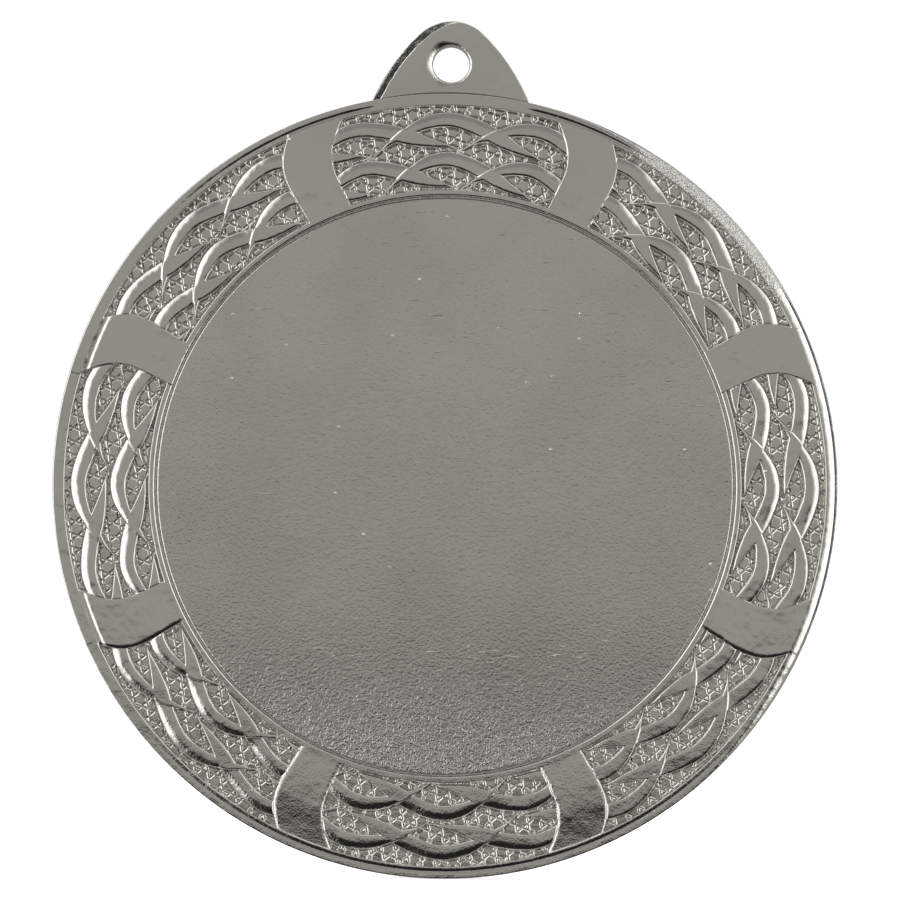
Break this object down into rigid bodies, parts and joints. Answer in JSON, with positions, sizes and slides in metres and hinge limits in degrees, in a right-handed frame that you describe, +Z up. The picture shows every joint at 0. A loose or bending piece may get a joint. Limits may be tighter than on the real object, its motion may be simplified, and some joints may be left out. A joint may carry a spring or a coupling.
{
  "type": "award medal",
  "caption": "Round metal award medal with a woven raised border, crossing straps, a sunk plain centre for an emblem and a top ear with a ribbon hole.",
  "frame": {"origin": "centre of the ribbon hole, midway through the ear", "axes": "+X right, +Z up through the ear as the medal hangs, and the struck face looks along -Y"},
  "size_m": [0.07, 0.0025, 0.0765],
  "materials": {
    "plate_metal": "bright nickel plate over blanked steel",
    "border_metal": "bright nickel plate over struck relief",
    "centre_metal": "satin nickel plate, finely pitted",
    "adhesive": "thin clear bonding film"
  },
  "bodies": {
    "root": {"back_plate": "plate_metal", "border_ring": "border_metal", "centre_plate": "centre_metal", "centre_adhesive": "adhesive"}
  },
  "joints": []
}
